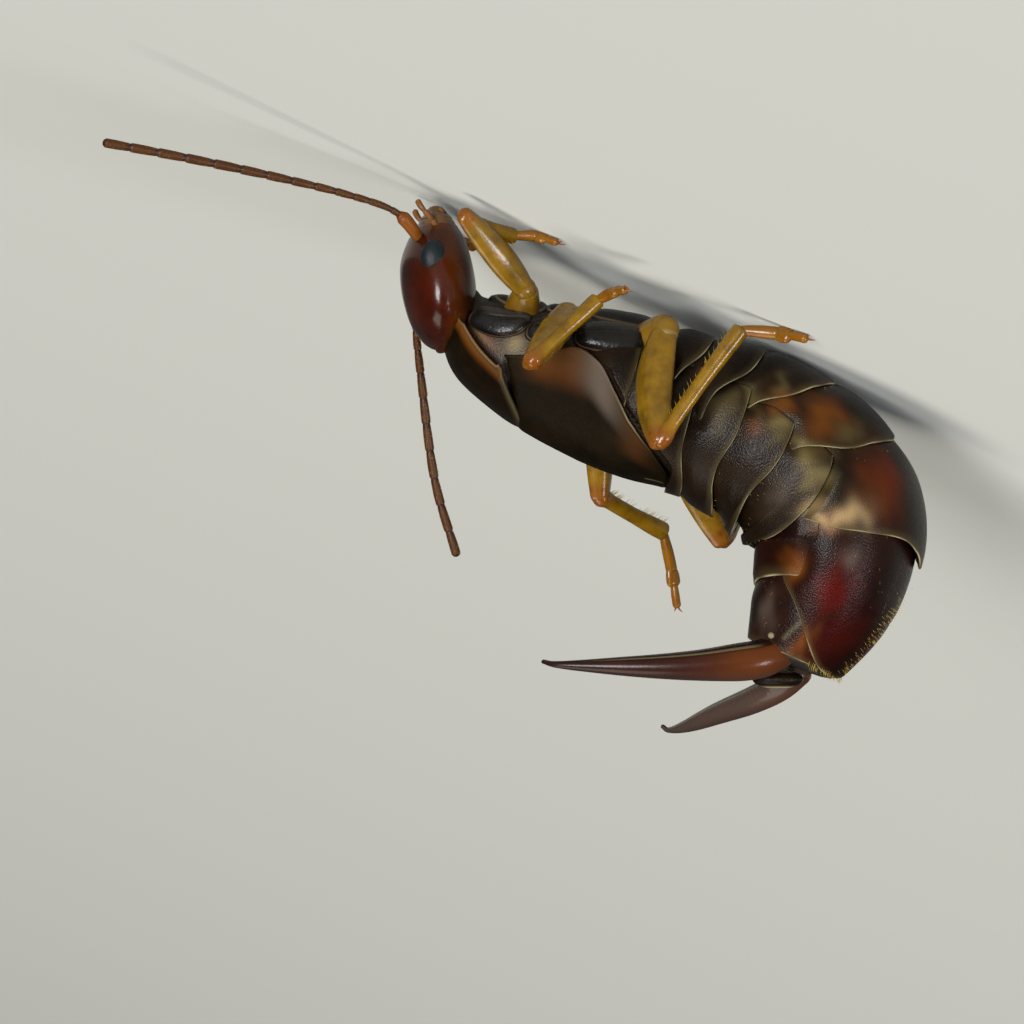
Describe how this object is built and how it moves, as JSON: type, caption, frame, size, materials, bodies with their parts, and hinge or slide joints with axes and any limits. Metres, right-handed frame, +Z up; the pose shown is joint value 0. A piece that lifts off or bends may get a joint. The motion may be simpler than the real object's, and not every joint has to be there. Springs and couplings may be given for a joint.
{
  "type": "earwig",
  "caption": "Life-size still model of a female earwig standing with its abdomen curled up over its back and its forceps open.",
  "frame": {"origin": "middle of the outline on the floor that the feet rest on", "axes": "+X towards the head, +Y to the animal's left, +Z up"},
  "size_m": [0.0144, 0.0064, 0.0061],
  "materials": {
    "head": "smooth polished chitin, deep red-brown",
    "eye": "dark blue-black facets, glossy",
    "feeler": "brown chitin with fine pale hairs, satin",
    "pronotum": "chitin, brown with a paler amber side margin, satin",
    "thorax": "near-black chitin, glossy",
    "tegmen": "leathery brown fore wing, satin",
    "abdomen": "finely pitted brown chitin with amber patches and pale hind margins, glossy",
    "tip": "finely pitted dark red-brown chitin, glossy",
    "forceps": "hard chitin, purple-brown with an orange base, glossy",
    "leg": "translucent amber chitin, glossy"
  },
  "bodies": {
    "root": {"head": "head", "mouthparts": "head", "eye_right": "eye", "eye_left": "eye", "antenna_right_scape": "feeler", "antenna_right_inner": "feeler", "antenna_right_outer": "feeler", "antenna_left_scape": "feeler", "antenna_left_inner": "feeler", "antenna_left_outer": "feeler", "palp_right": "feeler", "palp_left": "feeler", "pronotum": "pronotum", "neck": "thorax", "prothorax": "thorax", "mesothorax": "thorax", "metathorax": "thorax", "tegmen_right": "tegmen", "tegmen_left": "tegmen", "abdomen_3": "abdomen", "abdomen_4": "abdomen", "abdomen_5": "abdomen", "abdomen_6": "abdomen", "abdomen_7": "tip", "last_tergite": "tip", "last_sternite": "tip", "pygidium": "tip", "forceps_right": "forceps", "forceps_left": "forceps", "leg_right_front_coxa": "leg", "leg_right_front_femur": "leg", "leg_right_front_tibia": "leg", "leg_right_front_tarsus": "leg", "leg_right_middle_coxa": "leg", "leg_right_middle_femur": "leg", "leg_right_middle_tibia": "leg", "leg_right_middle_tarsus": "leg", "leg_right_hind_coxa": "leg", "leg_right_hind_femur": "leg", "leg_right_hind_tibia": "leg", "leg_right_hind_tarsus": "leg", "leg_left_front_coxa": "leg", "leg_left_front_femur": "leg", "leg_left_front_tibia": "leg", "leg_left_front_tarsus": "leg", "leg_left_middle_coxa": "leg", "leg_left_middle_femur": "leg", "leg_left_middle_tibia": "leg", "leg_left_middle_tarsus": "leg", "leg_left_hind_coxa": "leg", "leg_left_hind_femur": "leg", "leg_left_hind_tibia": "leg", "leg_left_hind_tarsus": "leg"}
  },
  "joints": []
}
